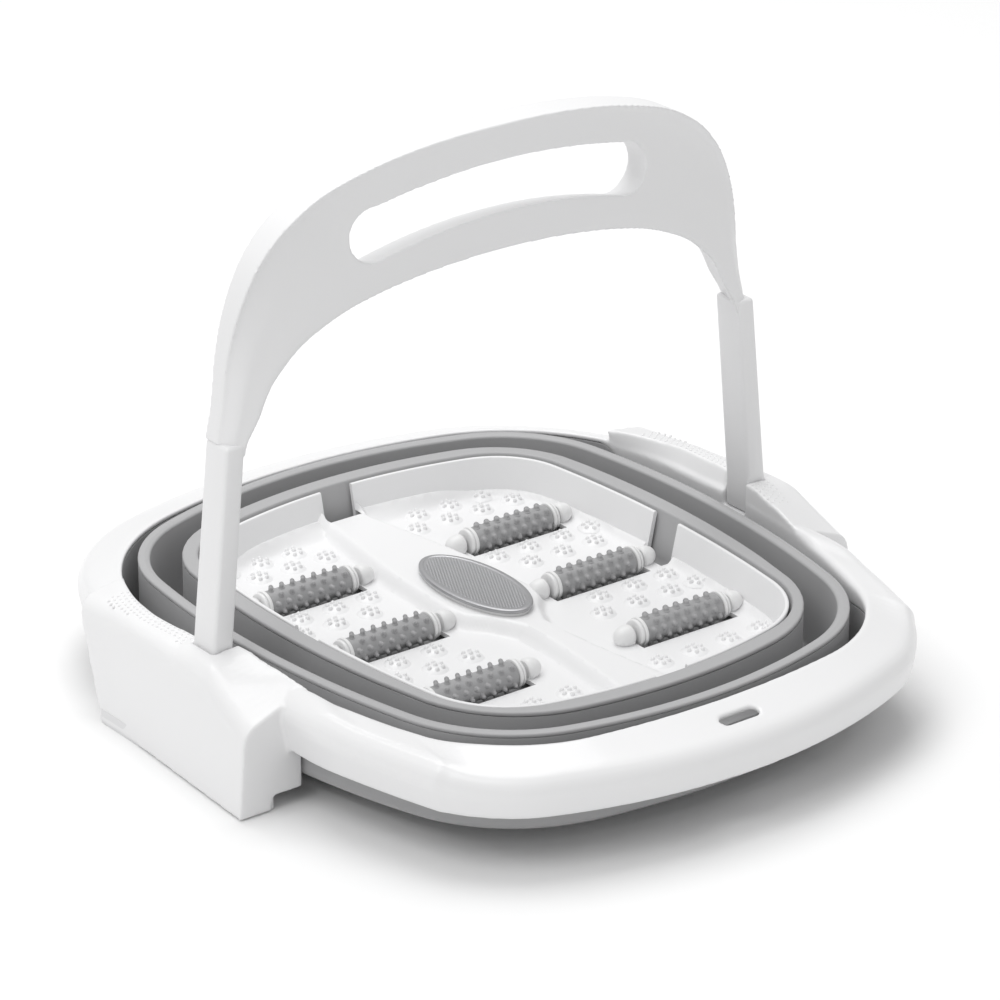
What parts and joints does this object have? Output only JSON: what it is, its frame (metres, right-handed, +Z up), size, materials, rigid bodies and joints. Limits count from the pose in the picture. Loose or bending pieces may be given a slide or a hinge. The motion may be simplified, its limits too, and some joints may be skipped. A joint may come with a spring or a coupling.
{
  "type": "collapsible foot bath",
  "caption": "Collapsible foot bath folded flat, with lift-out massage tray, studded rollers, foot file and a lift-out carry handle standing over it.",
  "frame": {"origin": "centre of the bounding box's bottom: on the floor under the middle of the bath", "axes": "+Z up; +X to the right-hand side block and handle leg; -Y to the end of the rim with the hanging slot"},
  "size_m": [0.392, 0.431, 0.3115],
  "materials": {
    "rim_white": "glossy",
    "cover_white": "satin",
    "soft_grey": "matte",
    "pan_grey": "matte",
    "plate_grey": "matte",
    "foot_rubber": "matte",
    "steel": "satin",
    "handle_white": "satin",
    "tray_white": "glossy",
    "hub_white": "glossy",
    "stud_grey": "matte",
    "rasp_steel": "brushed, bright rim",
    "holder_white": "satin"
  },
  "bodies": {
    "base": {"base_pan": "pan_grey", "base_plate": "plate_grey", "base_screws": "steel", "rubber_feet": "foot_rubber", "inner_web": "soft_grey"},
    "middle": {"middle_ring": "soft_grey", "outer_web": "soft_grey"},
    "rim_body": {"rim": "rim_white", "rim_liner": "soft_grey", "clamp_strips": "cover_white", "socket_left": "cover_white", "socket_right": "cover_white", "block_cover_left": "cover_white", "block_cover_right": "cover_white", "cover_screws": "steel", "detent_springs": "steel"},
    "handle": {"handle_front_shell": "handle_white", "handle_rear_shell": "handle_white", "handle_leg_left": "handle_white", "handle_leg_right": "handle_white", "handle_screws": "steel"},
    "tray": {"massage_tray": "tray_white", "roller_axles": "steel", "axle_caps": "hub_white"},
    "file": {"file_plate": "rasp_steel", "file_holder": "holder_white"},
    "roller_1": {"roller_hub_1": "hub_white", "roller_sleeve_1": "stud_grey"},
    "roller_2": {"roller_hub_2": "hub_white", "roller_sleeve_2": "stud_grey"},
    "roller_3": {"roller_hub_3": "hub_white", "roller_sleeve_3": "stud_grey"},
    "roller_4": {"roller_hub_4": "hub_white", "roller_sleeve_4": "stud_grey"},
    "roller_5": {"roller_hub_5": "hub_white", "roller_sleeve_5": "stud_grey"},
    "roller_6": {"roller_hub_6": "hub_white", "roller_sleeve_6": "stud_grey"}
  },
  "joints": [
    {"name": "tier_rise", "type": "slide", "parent": "base", "child": "middle", "axis": [0, 0, 1], "range_m": [0, 0.08], "deforming": ["inner_web"]},
    {"name": "rim_rise", "type": "slide", "parent": "middle", "child": "rim_body", "axis": [0, 0, 1], "range_m": [0, 0.08], "deforming": ["outer_web"]},
    {"name": "handle_lift", "type": "slide", "parent": "rim_body", "child": "handle", "axis": [0, 0, 1], "range_m": [0, 0.05]},
    {"name": "tray_lift", "type": "slide", "parent": "base", "child": "tray", "axis": [0, 0, 1], "range_m": [0, 0.04]},
    {"name": "file_lift", "type": "slide", "parent": "tray", "child": "file", "axis": [0, 0, 1], "range_m": [0, 0.012]},
    {"name": "roller_1_spin", "type": "hinge", "parent": "tray", "child": "roller_1", "pos_m": [0.0665, 0.075, 0.042], "axis": [1, 0, 0], "continuous": true},
    {"name": "roller_2_spin", "type": "hinge", "parent": "tray", "child": "roller_2", "pos_m": [0.0665, 0.002, 0.042], "axis": [1, 0, 0], "continuous": true},
    {"name": "roller_3_spin", "type": "hinge", "parent": "tray", "child": "roller_3", "pos_m": [0.0665, -0.071, 0.042], "axis": [1, 0, 0], "continuous": true},
    {"name": "roller_4_spin", "type": "hinge", "parent": "tray", "child": "roller_4", "pos_m": [-0.0665, 0.075, 0.042], "axis": [1, 0, 0], "continuous": true},
    {"name": "roller_5_spin", "type": "hinge", "parent": "tray", "child": "roller_5", "pos_m": [-0.0665, 0.002, 0.042], "axis": [1, 0, 0], "continuous": true},
    {"name": "roller_6_spin", "type": "hinge", "parent": "tray", "child": "roller_6", "pos_m": [-0.0665, -0.071, 0.042], "axis": [1, 0, 0], "continuous": true}
  ],
  "couplings": [
    {"joint": "rim_rise", "follows": "tier_rise", "ratio": 1}
  ]
}
